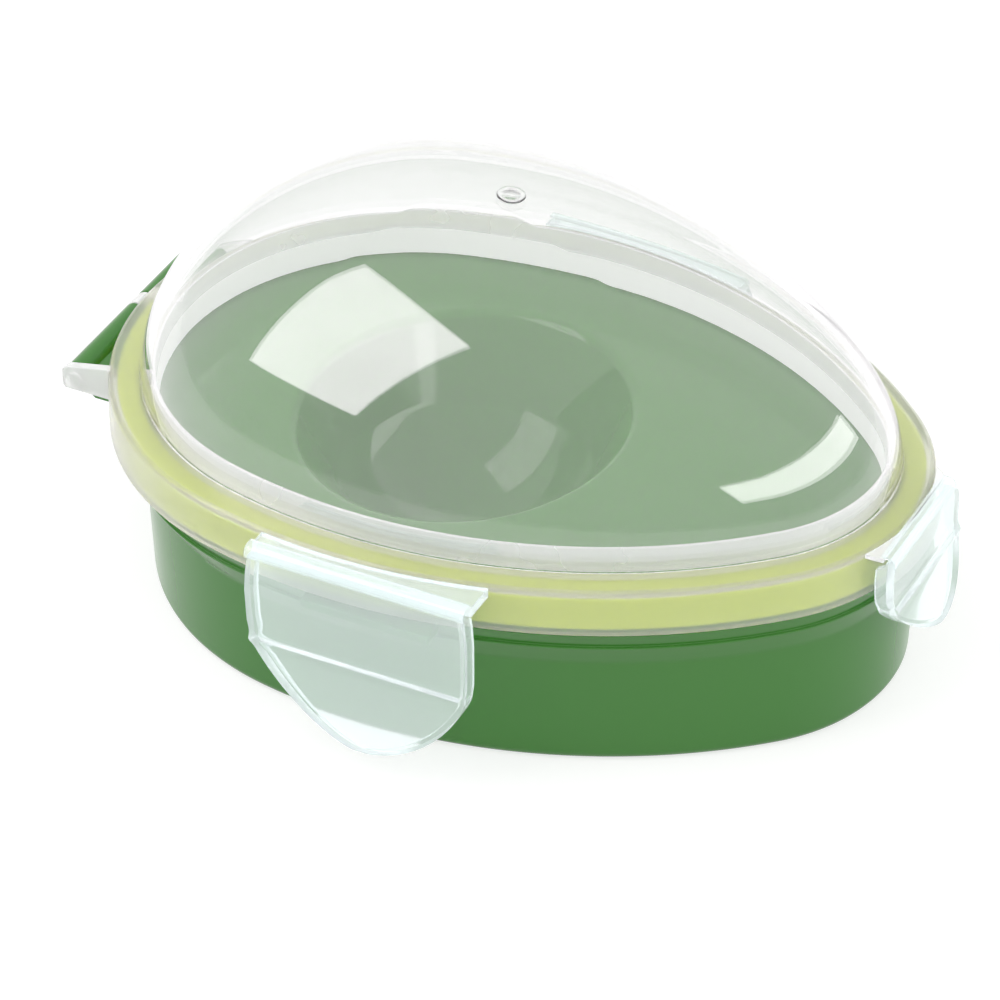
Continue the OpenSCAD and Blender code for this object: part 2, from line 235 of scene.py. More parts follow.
def skin(name, rings, hoop=False, poles=(False, False)):
    """A closed skin through the rings. Its ends are capped, drawn to a point, or joined into a hoop."""
    count = len(rings[0])
    obj = first_ring(name, rings[0])
    for points in rings[1:]:
        extrude_to(obj, points)
    last = {v.index for v in bmesh.from_edit_mesh(obj.data).verts if v.select}
    ends = (set(range(count)), last)
    # The last ring is closed before the first, whose vertices keep their numbers that way.
    if hoop:
        pick(obj, ends[0] | ends[1])
        bpy.ops.mesh.bridge_edge_loops()
    else:
        for end, pole in reversed(list(zip(ends, poles))):
            pick(obj, end)
            if pole:
                bpy.ops.mesh.merge(type="CENTER")
            else:
                bpy.ops.mesh.edge_face_add()
    bpy.ops.mesh.select_all(action="SELECT")
    bpy.ops.mesh.normals_make_consistent(inside=False)
    bpy.ops.object.mode_set(mode="OBJECT")
    return obj


# %% [markdown]
# ## Rounded edges
# No edge of a moulding is quite sharp, and it is the thin highlight along an edge that makes plastic look
# real. A bevel modifier rounds what is sharp and leaves the smooth walls alone. Weighted normals then
# keep the flat faces flat in the light.

# %% Modifiers
CORNER_ANGLE = 40


def modify(obj, kind, **settings):
    """Adds a modifier, sets it and applies it."""
    use(obj)
    m = obj.modifiers.new(kind.lower(), kind)
    for key, value in settings.items():
        setattr(m, key, value)
    bpy.ops.object.modifier_apply(modifier=m.name)


def shade_smooth(obj):
    use(obj)
    bpy.ops.object.shade_smooth_by_angle(angle=math.radians(CORNER_ANGLE))


def round_edges(obj, width, segments=3, angle=28):
    """Rounds every edge sharper than the angle, as moulds do, and shades the surface smooth."""
    modify(obj, "BEVEL", width=width * MM, segments=segments, limit_method="ANGLE",
           angle_limit=math.radians(angle), use_clamp_overlap=True)
    shade_smooth(obj)
    modify(obj, "WEIGHTED_NORMAL", mode="FACE_AREA", keep_sharp=True)


# %% [markdown]
# ## Bars and Booleans
# Ears, arms, lugs and knuckles are plain bars with an outline of their own, so they are extruded in one
# go. Holes and the egg shaped edges beside them are cut with Boolean modifiers, because a cutter made
# from the same outline fits to the hundredth of a millimetre.

# %% Bars and Booleans


def prism(name, outline, low, high, axis="Y"):
    """A bar from low to high along Y or Z. Its outline lists the other two coordinates."""
    def at(level):
        if axis == "Y":
            return [(a, level, b) for a, b in outline]
        return [(a, b, level) for a, b in outline]
    return skin(name, [at(low), at(high)])


def rectangle(x0, y0, x1, y1):
    return [(x0, y0), (x1, y0), (x1, y1), (x0, y1)]


def cut(obj, cutters):
    """Cuts the cutters out of obj with Boolean modifiers, and removes them."""
    for cutter in cutters:
        modify(obj, "BOOLEAN", operation="DIFFERENCE", solver="EXACT", object=cutter)
        bpy.data.objects.remove(cutter)


# %% [markdown]
# ## Handing a piece over
# A finished piece needs four things: its material, the body that it moves with, its slot in the record,
# and the CAD nodes that it stands for. One helper gives it the material and the body, and hides those CAD
# nodes.

# %% Placing a piece


def place(obj, body, material, slot, *nodes):
    """Gives a finished piece its material and its body, and hides the CAD nodes that it stands for. The slot
    is not used.
    """
    obj.data.materials.clear()
    obj.data.materials.append(material)
    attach(obj, body)
    if nodes:
        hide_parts(*nodes)
    print(obj.name, "has", len(obj.data.polygons), "faces")


# %% [markdown]
# ## Finishes
# The saver has four plastics: green, milky, clear, and lime silicone. Green and milky come in several
# looks, because one moulding can be polished in one place and dull in another. A picture of plastic could
# be laid on, but it would slide and stretch. All materials here are made of nodes on Object coordinates
# instead.

# %% Colours and materials


def new_material(name, **values):
    """A Principled material with plain values on its sockets, its node tree and its shader."""
    material = bpy.data.materials.new(name)
    material.use_nodes = True
    tree = material.node_tree
    shader = tree.nodes["Principled BSDF"]
    for key, value in values.items():
        shader.inputs[key.replace("_", " ")].default_value = value
    return material, tree, shader


def srgb(r, g, b):
    """A colour as a shader takes it, from the 0 to 255 that a picture shows."""
    def linear(c):
        c /= 255
        return c / 12.92 if c <= 0.04045 else ((c + 0.055) / 1.055) ** 2.4
    return (linear(r), linear(g), linear(b), 1)


PLASTIC_IOR = 1.49
print("green as the shader takes it:", [round(c, 3) for c in srgb(61, 127, 45)])

# %% [markdown]
# ## The skin of a moulding
# Moulded plastic is never perfectly even: its gloss changes a little from place to place, and its skin
# has a very fine orange peel. Both come from noise. The patches of gloss are a centimetre or two wide,
# and the peel is only micrometres deep, so that it breaks up a highlight without being seen as a shape.

# %% Moulded skin
PATCH_SCALE = 60
PATCH_DETAIL = 3
PATCH_RANGE = (0.3, 0.7)
PEEL_DETAIL = 2


def mould_skin(tree, shader, gloss, peel_scale, peel_depth):
    """Uneven gloss between the two roughness values, and a fine orange peel in the normal."""
    links = tree.links
    coords = tree.nodes.new("ShaderNodeTexCoord")
    patches = tree.nodes.new("ShaderNodeTexNoise")
    patches.inputs["Scale"].default_value = PATCH_SCALE
    patches.inputs["Detail"].default_value = PATCH_DETAIL
    spread = tree.nodes.new("ShaderNodeMapRange")
    spread.inputs["From Min"].default_value = PATCH_RANGE[0]
    spread.inputs["From Max"].default_value = PATCH_RANGE[1]
    spread.inputs["To Min"].default_value = gloss[0]
    spread.inputs["To Max"].default_value = gloss[1]
    peel = tree.nodes.new("ShaderNodeTexNoise")
    peel.inputs["Scale"].default_value = peel_scale
    peel.inputs["Detail"].default_value = PEEL_DETAIL
    bump = tree.nodes.new("ShaderNodeBump")
    bump.inputs["Distance"].default_value = peel_depth * MM
    bump.inputs["Strength"].default_value = 1
    links.new(coords.outputs["Object"], patches.inputs["Vector"])
    links.new(coords.outputs["Object"], peel.inputs["Vector"])
    links.new(patches.outputs["Fac"], spread.inputs["Value"])
    links.new(spread.outputs["Result"], shader.inputs["Roughness"])
    links.new(peel.outputs["Fac"], bump.inputs["Height"])
    links.new(bump.outputs["Normal"], shader.inputs["Normal"])


# %% [markdown]
# ## Light through plastic
# A clear or milky cover casts only a faint shadow on what lies below it. Light that is bent in its wall
# could be traced in full, which takes very long and stays grainy. Here the rays that look for a lamp pass
# straight through, with a share of their light, and everything that the eye sees of the plastic stays as
# it is.

# %% Light through plastic


def let_light_through(tree, shader, share):
    """Lets this share of the lamps' light pass on the way to what lies behind the plastic."""
    out = tree.nodes["Material Output"]
    path = tree.nodes.new("ShaderNodeLightPath")
    clear = tree.nodes.new("ShaderNodeBsdfTransparent")
    clear.inputs["Color"].default_value = (share, share, share, 1)
    mix = tree.nodes.new("ShaderNodeMixShader")
    tree.links.new(path.outputs["Is Shadow Ray"], mix.inputs["Fac"])
    tree.links.new(shader.outputs["BSDF"], mix.inputs[1])
    tree.links.new(clear.outputs["BSDF"], mix.inputs[2])
    tree.links.new(mix.outputs["Shader"], out.inputs["Surface"])


# %% [markdown]
# ## Green plastic
# Bowl, knuckles, lugs and pin are one satin green. Its highlights are soft but not dull, and its peel is
# fine.

# %% Green plastic
green, tree, shader = new_material("green_plastic", Base_Color=srgb(61, 127, 45), IOR=PLASTIC_IOR)
mould_skin(tree, shader, gloss=(0.16, 0.26), peel_scale=1400, peel_depth=0.003)
print(green.name, "is ready")

# %% [markdown]
# ## Polished green of the tray
# The tray is the same green from a polished mould. It shows the window-like lamp as a clear patch in its
# cup, which a satin surface would smear. A thin coat over a low roughness gives that without a mirror's
# glare.

# %% Polished green
polished, tree, shader = new_material("green_polished", Base_Color=srgb(56, 125, 28), IOR=PLASTIC_IOR,
                                      Coat_Weight=0.25, Coat_IOR=1.5, Coat_Roughness=0.04)
mould_skin(tree, shader, gloss=(0.05, 0.09), peel_scale=500, peel_depth=0.0004)
print(polished.name, "is ready")

# %% [markdown]
# ## Milky plastic of the lid frame
# The frame is see-through but hazy, so the lime seal below shows as a soft band. Glass with a rough
# surface makes that haze without a volume, which would be slow. A thin coat keeps the moulded gloss on
# top of it.

# %% Milky plastic of the frame
milky, tree, shader = new_material("milky_frame", Base_Color=srgb(250, 252, 236), IOR=PLASTIC_IOR,
                                   Transmission_Weight=0.91, Coat_Weight=0.7, Coat_Roughness=0.06,
                                   Sheen_Weight=0.15, Sheen_Roughness=0.3)
mould_skin(tree, shader, gloss=(0.32, 0.38), peel_scale=900, peel_depth=0.003)
let_light_through(tree, shader, 0.6)
print(milky.name, "is ready")

# %% [markdown]
# ## The same plastic, seen edge on
# Through the dome one looks along the frame's inner wall and through the collar, where the milk adds up.
# Both get less transmission than the frame. Their faint glow is painted light: an emission that brightens
# them though they are no lamp, standing in for the light that wanders inside such plastic. The collar's
# look, painted glow and all, also suits the tip ear and the hinge arms, which are seen at a flat angle.

# %% Milky plastic of the wall and the collar
# Its emission is painted light: a glow on the wall's plastic, which is no lamp.
dense_with_painted_glow, tree, shader = new_material("milky_wall_painted_glow", Base_Color=srgb(250, 251, 250), IOR=PLASTIC_IOR,
                                   Transmission_Weight=0.1, Emission_Color=(1, 1, 1, 1),
                                   Emission_Strength=0.18)
mould_skin(tree, shader, gloss=(0.3, 0.4), peel_scale=900, peel_depth=0.003)
let_light_through(tree, shader, 0.6)

# Its emission is painted light: a faint glow on the collar's plastic, which is no lamp.
veil_with_painted_glow, tree, shader = new_material("milky_collar_painted_glow", Base_Color=srgb(250, 252, 250), IOR=PLASTIC_IOR,
                                  Transmission_Weight=0.55, Emission_Color=(1, 1, 1, 1),
                                  Emission_Strength=0.05)
mould_skin(tree, shader, gloss=(0.2, 0.3), peel_scale=900, peel_depth=0.003)
let_light_through(tree, shader, 0.7)
print(dense_with_painted_glow.name, "and", veil_with_painted_glow.name, "are ready")

# %% [markdown]
# ## Milky plastic of the latches
# The latches are smoother than the frame, so the green bowl shows through them as an even, cool tint.
# Less roughness and less transmission, a little sheen and a painted bluish glow, an emission that brightens
# the plate though it is no lamp, give a plate that is pale from every side and still lets its own edges
# shine. The side ears and the film hinges get this look, painted glow included, too.

# %% Milky plastic of the latches
# Its emission is painted light: a bluish glow on the latch plastic, which is no lamp.
hazy_with_painted_glow, tree, shader = new_material("milky_latch_painted_glow", Base_Color=srgb(244, 253, 251), IOR=PLASTIC_IOR,
                                  Transmission_Weight=0.78, Emission_Color=(0.91, 0.95, 1, 1),
                                  Emission_Strength=0.075, Sheen_Weight=0.3, Sheen_Roughness=0.3)
mould_skin(tree, shader, gloss=(0.07, 0.11), peel_scale=900, peel_depth=0.002)
let_light_through(tree, shader, 0.5)
print(hazy_with_painted_glow.name, "is ready")

# %% [markdown]
# ## Clear plastic of the dome
# The dome is clear and very glossy. Its lamp reflections are strong in the photograph, so it gets a high
# index of refraction and a full coat, while its roughness stays near nothing.

# %% Clear plastic
clear, tree, shader = new_material("clear_plastic", Base_Color=(1, 1, 1, 1), IOR=1.7,
                                   Transmission_Weight=1.0, Coat_Weight=1.0, Coat_IOR=1.6)
mould_skin(tree, shader, gloss=(0.0, 0.015), peel_scale=500, peel_depth=0.0005)
let_light_through(tree, shader, 0.9)
print(clear.name, "is ready")

# %% [markdown]
# ## Lime silicone of the seal
# The seal is soft, matt and strong in colour. Silicone has a lower index than hard plastic, so it shines
# less.

# %% Lime silicone
lime, tree, shader = new_material("lime_silicone", Base_Color=srgb(211, 229, 14), IOR=1.41)
mould_skin(tree, shader, gloss=(0.45, 0.6), peel_scale=1600, peel_depth=0.006)
print(lime.name, "is ready")

# %% [markdown]
# ## The bowl
# The bowl is one moulding of even wall. Its foot is rounded, its wall leans out a little, and a shoulder
# with a small step carries the rim that the seal closes on. Inside, a ledge waits for the tray. The sizes
# come first: heights are above the table, and an offset is measured out from the dome's egg.

# %% Bowl sizes
RIM_Z = 28.2
WALL_TOP_Z = 19.3
WALL_OUT = 3.0
WALL_DRAFT = 0.8
BOWL_WALL = 2.4
BOWL_FLOOR = 2.0
HINGE_SETBACK = 3.7
RIM_SETBACK = 1.2
FOOT_ROUND = 1.6
INNER_ROUND = 1.8
RIM_OUT = 3.3
RIM_IN = 1.9
SKIRT_Z = 25.5
SHOULDER_Z = SKIRT_Z - 0.8
SHOULDER_OUT = 0.7
STEP_Z = (WALL_TOP_Z + SHOULDER_Z) / 2 + 0.2
STEP_OUT = 0.9
STEP_HALF = 0.1
LEDGE_Z = RIM_Z - 2.5
foot = WALL_OUT - WALL_DRAFT
cavity = WALL_OUT - BOWL_WALL
inner_foot = cavity - WALL_DRAFT
print("the ledge is", round(LEDGE_Z, 2), "mm above the table")

# %% [markdown]
# ## The bowl's shell
# One ring of edges is carried through all levels, from the middle of the foot, up the outside, over the
# rim and down to the floor inside. Each level is an offset, a height and the setback at the hinge end.
# Thickness could also come from a solidify modifier, but the rim and the ledge need levels of their own
# anyway.

# %% Bowl shell
foot_curve = []
for degrees in range(0, 91, 15):
    a = math.radians(degrees)
    foot_curve.append((foot - FOOT_ROUND * (1 - math.sin(a)), FOOT_ROUND * (1 - math.cos(a)), HINGE_SETBACK))
up_the_outside = [
    (foot - FOOT_ROUND - 1, 0, HINGE_SETBACK),
    *foot_curve,
    (WALL_OUT - 0.04, WALL_TOP_Z - 0.8, HINGE_SETBACK),
    (WALL_OUT, WALL_TOP_Z, HINGE_SETBACK),
    (WALL_OUT + STEP_OUT, STEP_Z - STEP_HALF, HINGE_SETBACK / 2),
    (WALL_OUT + STEP_OUT, STEP_Z + STEP_HALF, HINGE_SETBACK / 2),
    (WALL_OUT + 0.5, STEP_Z + 0.25, HINGE_SETBACK / 2),
    (RIM_OUT + SHOULDER_OUT, SHOULDER_Z, 0),
    (RIM_OUT, SHOULDER_Z + 0.1, RIM_SETBACK),
    (RIM_OUT, RIM_Z, RIM_SETBACK)]
down_the_inside = [
    (RIM_IN, RIM_Z, RIM_SETBACK),
    (RIM_IN, LEDGE_Z, RIM_SETBACK),
    (cavity, LEDGE_Z, RIM_SETBACK),
    (cavity, LEDGE_Z - INNER_ROUND, RIM_SETBACK),
    (cavity, WALL_TOP_Z - 0.8, HINGE_SETBACK),
    (inner_foot, BOWL_FLOOR + INNER_ROUND, HINGE_SETBACK),
    (inner_foot - 0.5, BOWL_FLOOR + 0.5, HINGE_SETBACK),
    (inner_foot - INNER_ROUND, BOWL_FLOOR, HINGE_SETBACK),
    (inner_foot - 3, BOWL_FLOOR, HINGE_SETBACK)]
bowl = skin("bowl_shell", [egg_ring(*level) for level in up_the_outside + down_the_inside])
round_edges(bowl, 0.25)
place(bowl, "base", green, "green_plastic", "base_bowl")

# %% [markdown]
# ## The hinge
# At the blunt end two green knuckles grow out of the bowl, and a pin runs through them and through three
# arms of the lid. All of it is measured from the pin, because everything there turns about it.

# %% Hinge sizes
FRAME_Z = 33.2
FRAME_T = 1.6
FRAME_OUT = 5.0
GASKET_TOP = FRAME_Z - FRAME_T
GAP = 0.3
PIN_R = 1.0
PIN_FIT = 0.02
PIN_PLAY = 0.05
KNUCKLE_R = 2.2
PIN_X = -EGG_LEN / 2 - 5.9
PIN_Z = GASKET_TOP - KNUCKLE_R - GAP
HINGE_HALF_W = 21.7
PIN_END = HINGE_HALF_W - 0.5
ARM_T = 1.5
MIDDLE_ARM_T = 3.2
BLOCK_END_X = PIN_X + 12
BLOCK_TOP_Z = PIN_Z + 0.9


def circle_points(cx, cy, radius, a0, a1, steps):
    """Points on an arc from a0 to a1, in degrees, both ends included."""
    turns = [math.radians(a0 + (a1 - a0) * i / steps) for i in range(steps + 1)]
    return [(cx + radius * math.cos(a), cy + radius * math.sin(a)) for a in turns]


def full_circle(cx, cy, radius, steps=48):
    return circle_points(cx, cy, radius, 0, 360 - 360 / steps, steps - 1)


print("the pin lies at x", round(PIN_X, 2), "z", round(PIN_Z, 2))

# %% [markdown]
# ## Knuckles
# A knuckle is a block with a round nose. It is extruded along the pin, and three cutters shape it: the
# bore of the pin, the bowl's inside, and the room that the seal needs above the rim.

# %% Knuckles
NOSE_START, NOSE_END = 24.2, 286
NECK_START_X, NECK_END_X = PIN_X + 2.6, PIN_X + 5.2
NECK_Z = SKIRT_Z - 0.1
BLOCK_LOW_Z = SHOULDER_Z - 0.2
knuckle_outline = (
    [(BLOCK_END_X, BLOCK_TOP_Z)]
    + circle_points(PIN_X, PIN_Z, KNUCKLE_R, NOSE_START, NOSE_END, 30)
    + [(NECK_START_X, NECK_Z), (NECK_END_X, NECK_Z), (NECK_END_X + 0.6, BLOCK_LOW_Z),
       (BLOCK_END_X, BLOCK_LOW_Z)])
bore = full_circle(PIN_X, PIN_Z, PIN_R + PIN_FIT)
bowl_inside = egg(RIM_IN + 0.3, RIM_SETBACK)
seal_room = egg(RIM_OUT + 0.5)
knuckle_y = (MIDDLE_ARM_T / 2 + GAP, HINGE_HALF_W - ARM_T - GAP - 0.1)
for side, word in ((-1, "front"), (1, "back")):
    low, high = sorted(side * y for y in knuckle_y)
    knuckle = prism("knuckle_" + word, knuckle_outline, low, high)
    cut(knuckle, [prism("cut_bore", bore, low - 1, high + 1),
                  prism("cut_inside", bowl_inside, STEP_Z - 3, RIM_Z - 0.3, "Z"),
                  prism("cut_seal", seal_room, RIM_Z - 0.4, RIM_Z + 9, "Z")])
    round_edges(knuckle, 0.2)
    place(knuckle, "base", green, "green_plastic")

# %% [markdown]
# ## Pin
# The pin is a plain green rod. It is drawn in full, although only its line between the knuckles can be
# seen, because the arms have to turn about something when the lid opens.

# %% Pin
pin = prism("hinge_rod", full_circle(PIN_X, PIN_Z, PIN_R), -PIN_END, PIN_END)
round_edges(pin, 0.15)
place(pin, "base", green, "green_plastic", "hinge_pin")

# %% [markdown]
# ## Catch lugs
# A small lug stands out of the shoulder below each latch, just under the frame's skirt. The latch hooks
# under it. It reaches out until a small gap is left to the latch's hook.

# %% Catch lugs
LUG_LOW, LUG_HIGH = SKIRT_Z - 2.2, SKIRT_Z - 0.6
LUG_W = 21.0
LUG_ROOT = 2.4
LATCH_T = 1.4
LUG_GAP = 1.1 + GAP
SIDE_X = -1.0
SIDE_AXIS_Y = HALF_WIDTH + FRAME_OUT + 3.16
TIP_AXIS_X = EGG_LEN / 2 + FRAME_OUT + 1.6
lug_side_y = SIDE_AXIS_Y - LATCH_T / 2 - LUG_GAP
lug_tip_x = TIP_AXIS_X - LATCH_T / 2 - LUG_GAP
for side, word in ((-1, "front"), (1, "back")):
    low, high = sorted((side * (HALF_WIDTH + LUG_ROOT), side * lug_side_y))
    lug = prism("catch_lug_" + word, rectangle(SIDE_X - LUG_W / 2, low, SIDE_X + LUG_W / 2, high),
                LUG_LOW, LUG_HIGH, "Z")
    round_edges(lug, 0.3)
    place(lug, "base", green, "green_plastic")
lug = prism("catch_lug_tip", rectangle(EGG_LEN / 2 + LUG_ROOT, -LUG_W / 4, lug_tip_x, LUG_W / 4),
            LUG_LOW, LUG_HIGH, "Z")
round_edges(lug, 0.2)
place(lug, "base", green, "green_plastic")

# %% [markdown]
# ## The tray with its stone cup
# The tray is a flat egg whose surface rolls down into a cup for the avocado's stone. A Boolean hole would
# leave a hard rim, and the rolled lip is what catches the light. So the ring of edges goes from the
# bottom of the cup up to its mouth, over the deck to the edge, and back along the underside to the cup's
# outside. The mouth is slightly oval across the egg. The well is round and deeper than the CAD's floor,
# as the lamp's reflection in it shows.

# %% Tray sizes
TRAY_T = 1.6
TRAY_EDGE = RIM_IN - GAP
LIP_R = 1.8
DECK_Z = LEDGE_Z + TRAY_T
CUP_X = -9.8
CUP_WALL = 1.2
MOUTH_R = 24.5
CUP_OVAL = 1.13
OVAL_DEPTH = 14
WELL_R = 23.5
WELL_Z = 27.0
WELL_STEEPEST = 60
LIP_START = 24
print("the cup reaches down to", WELL_Z - WELL_R, "mm above the table")

# %% [markdown]
# ## The tray's rings
# A ring of the cup has as many points as the egg, each in the direction of the egg's own point. That way
# the faces between cup and edge run straight out and don't twist.

# %% Tray


def cup_ring(radius, z):
    """A ring about the cup's axis, its points facing the egg's: oval at the deck, and round below."""
    oval = 1 + (CUP_OVAL - 1) * max(0.0, 1 - (DECK_Z - z) / OVAL_DEPTH)
    ring = []
    for x, y in egg(0):
        a = math.atan2(y, x - CUP_X)
        ring.append((CUP_X + radius * math.cos(a), oval * radius * math.sin(a), z))
    return ring


def well(radius, step):
    """Radii and heights on the cup's round bottom, from its middle out to where its side is steepest."""
    turns = [math.radians(k) for k in range(step, WELL_STEEPEST + 1, step)]
    return [(radius * math.sin(a), WELL_Z - radius * math.cos(a)) for a in turns]


lip = []
for degrees in range(LIP_START, 91, 6):
    a = math.radians(degrees)
    lip.append((MOUTH_R + LIP_R * (1 - math.cos(a)), DECK_Z - LIP_R * (1 - math.sin(a))))
inside = [cup_ring(r, z) for r, z in well(WELL_R, 3) + lip]
edge_levels = ((TRAY_EDGE - 1, DECK_Z), (TRAY_EDGE, DECK_Z), (TRAY_EDGE, LEDGE_Z))
edge = [egg_ring(o, z, RIM_SETBACK) for o, z in edge_levels]
outside = [cup_ring(r, z) for r, z in [(MOUTH_R + TRAY_T, LEDGE_Z)] + well(WELL_R + CUP_WALL, 5)[::-1]]
tray = skin("stone_tray", inside + edge + outside, poles=(True, True))
round_edges(tray, 0.2)
place(tray, "base", polished, "green_plastic", "pit_tray")

# %% [markdown]
# ## The lid frame
# The frame is a channel that runs round the egg: a top and an outer skirt, with a rebate where the dome
# stands. Its section is drawn once and carried round the egg as a hoop. At the hinge end a Boolean cuts a
# gap in the skirt, between the outer arms, where the knuckles stand.

# %% Lid frame
SKIRT_T = 1.4
INNER_IN = 1.9
CHANNEL_IN = 1.02
SEAT_Z = FRAME_Z - 0.6
RELIEF_REACH = 15
SKIRT_DRAFT = 0.08
CREST_ROUND = 0.9
DOME_PLAY = 0.1
frame_levels = [
    (FRAME_OUT - SKIRT_T, SKIRT_Z), (FRAME_OUT, SKIRT_Z),
    (FRAME_OUT - SKIRT_DRAFT, FRAME_Z - CREST_ROUND), (FRAME_OUT - 0.35, FRAME_Z - 0.3),
    (FRAME_OUT - CREST_ROUND, FRAME_Z), (DOME_PLAY, FRAME_Z), (DOME_PLAY, SEAT_Z),
    (-INNER_IN + CHANNEL_IN, SEAT_Z), (-INNER_IN + CHANNEL_IN, GASKET_TOP),
    (FRAME_OUT - SKIRT_T, GASKET_TOP)]
lid = skin("lid_ring", [egg_ring(o, z) for o, z in frame_levels], hoop=True)
relief_half = HINGE_HALF_W - ARM_T
cut(lid, [prism("cut_relief", rectangle(PIN_X - 5, -relief_half, PIN_X + RELIEF_REACH, relief_half),
                SKIRT_Z - 5, GASKET_TOP, "Z")])
round_edges(lid, 0.22)
place(lid, "lid", milky, "milky_plastic", "lid_frame")

# %% [markdown]
# ## Inner wall and collar
# Two thin rings belong to the frame and are seen through the dome: a wall that holds the seal from
# inside, and a leaning collar that stands up within the dome's foot and gives it a pale veil. They are
# pieces of their own here, because each needs another look of the milky plastic.

# %% Inner wall and collar
INNER_Z = 27.7
DOME_T = 1.5
COLLAR_H = 3.2
COLLAR_LEAN = 0.61
COLLAR_T = 0.5
wall_levels = [(-INNER_IN + 1, INNER_Z), (-INNER_IN + 1, SEAT_Z), (-DOME_T - 0.1, SEAT_Z),
               (-INNER_IN, SEAT_Z - 0.8), (-INNER_IN, INNER_Z)]
wall = skin("lid_inner_wall", [egg_ring(o, z) for o, z in wall_levels], hoop=True)
round_edges(wall, 0.12)
place(wall, "lid", dense_with_painted_glow, "milky_plastic")
collar_levels = [(-DOME_T - 0.15, SEAT_Z), (-DOME_T - COLLAR_LEAN, FRAME_Z + COLLAR_H),
                 (-DOME_T - COLLAR_LEAN - COLLAR_T, FRAME_Z + COLLAR_H), (-DOME_T - 0.85, SEAT_Z)]
collar = skin("lid_collar", [egg_ring(o, z) for o, z in collar_levels], hoop=True)
round_edges(collar, 0.2)
place(collar, "lid", veil_with_painted_glow, "milky_plastic")

# %% [markdown]
# ## Ears
# An ear is a flat tab on the frame that carries a latch, and stops just short of the latch's fold. Its bar
# starts inside the frame, and the frame's egg is then cut out of it almost to the frame's face, because two
# clear solids in one place show as a dark seam. The tip ear is thinner, and its far corner is cut back.

# %% Ears
EAR_W = 35.8
EAR_LOW, EAR_HIGH = FRAME_Z - 1.9, FRAME_Z - 0.1
TIP_EAR_T = 0.8
TIP_FOLD_X = TIP_AXIS_X - 0.7
FOLD_ROOM = 0.95
frame_egg = egg(FRAME_OUT - 0.06)
tip_root_x = TIP_X + 10
tip_edge_x = TIP_FOLD_X - FOLD_ROOM
ears = {
    "tip_ear": [(tip_root_x, -13.8), (tip_edge_x, -13.2), (tip_edge_x, 9.6), (TIP_FOLD_X - 1.6, 10.6),
                (TIP_FOLD_X - 3, 11.6), (tip_root_x, 12.8)]}
for side, word in ((-1, "front"), (1, "back")):
    ears[word + "_ear"] = rectangle(SIDE_X - EAR_W / 2, side * (HALF_WIDTH - 5),
                                    SIDE_X + EAR_W / 2, side * (SIDE_AXIS_Y - FOLD_ROOM))
for name, outline in ears.items():
    at_tip = name == "tip_ear"
    ear = prism(name, outline, EAR_HIGH - TIP_EAR_T if at_tip else EAR_LOW, EAR_HIGH, "Z")
    cut(ear, [prism("cut_ear", frame_egg, EAR_LOW - 2, EAR_HIGH + 2, "Z")])
    round_edges(ear, 0.25)
    # The tip ear gets the collar's painted glow, and the side ears the latch plastic's painted bluish glow.
    place(ear, "lid", veil_with_painted_glow if at_tip else hazy_with_painted_glow, "milky_plastic")

# %% [markdown]
# ## Hinge arms
# Three arms of the frame reach out to the pin: a wide one with a round nose between the knuckles, and a
# thin one at each side, which also hides the end of the pin. They are extruded along the pin and bored
# for it.

# %% Hinge arms
ARM_LOW = PIN_Z - KNUCKLE_R + 0.4
ARM_END = PIN_X - KNUCKLE_R + 0.2
ARM_ROOT_X = PIN_X + 6.6
ARM_TOP = FRAME_Z - 0.4
MIDDLE_ROOT_X = PIN_X + 5
arm_outline = [(ARM_END, ARM_LOW + 0.5), (ARM_END + 0.5, ARM_LOW), (ARM_ROOT_X, ARM_LOW),
               (ARM_ROOT_X, ARM_TOP), (PIN_X + 5.8, ARM_TOP), (ARM_END + 0.8, PIN_Z + KNUCKLE_R),
               (ARM_END, PIN_Z + KNUCKLE_R - 0.7)]
middle_outline = (
    circle_points(PIN_X, PIN_Z, KNUCKLE_R, 90, 393, 40)
    + [(PIN_X + 2.4, GASKET_TOP + 0.1), (MIDDLE_ROOT_X, GASKET_TOP + 0.1), (MIDDLE_ROOT_X, ARM_TOP),
       (PIN_X + 2.6, ARM_TOP)])
arms = [("middle_arm", middle_outline, -MIDDLE_ARM_T / 2, MIDDLE_ARM_T / 2),
        ("front_arm", arm_outline, -HINGE_HALF_W, ARM_T - HINGE_HALF_W),
        ("back_arm", arm_outline, HINGE_HALF_W - ARM_T, HINGE_HALF_W)]
for name, outline, low, high in arms:
    arm = prism(name, outline, low, high)
    cut(arm, [prism("cut_pin", full_circle(PIN_X, PIN_Z, PIN_R + PIN_PLAY), -PIN_END - 0.1, PIN_END + 0.1)])
    round_edges(arm, 0.2)
    # The arms get the collar's plastic with its painted glow.
    place(arm, "lid", veil_with_painted_glow, "milky_plastic")

# %% [markdown]
# ## The dome
# The dome is a stack of eggs that shrink towards its highest point along a superellipse. A scaled sphere
# would be too full at the tip. It is modelled as the thin closed shell that it is, with an outer and an
# inner face, so that light bends in its wall and the foot shows as a bright line.

# %% Dome
DOME_H = 35.7
DOME_TOP_X = -11.0
DOME_POWER = 1.84
DOME_Z = FRAME_Z + 0.3


def dome_ring(tilt, grow, height):
    """The egg at this tilt in degrees, from 0 at the dome's foot to nearly 90 at its top."""
    s = math.cos(math.radians(tilt)) ** (2 / DOME_POWER)
    z = DOME_Z + height * math.sin(math.radians(tilt)) ** (2 / DOME_POWER)
    return [(DOME_TOP_X + (x - DOME_TOP_X) * s, y * s, z) for x, y in egg(grow)]


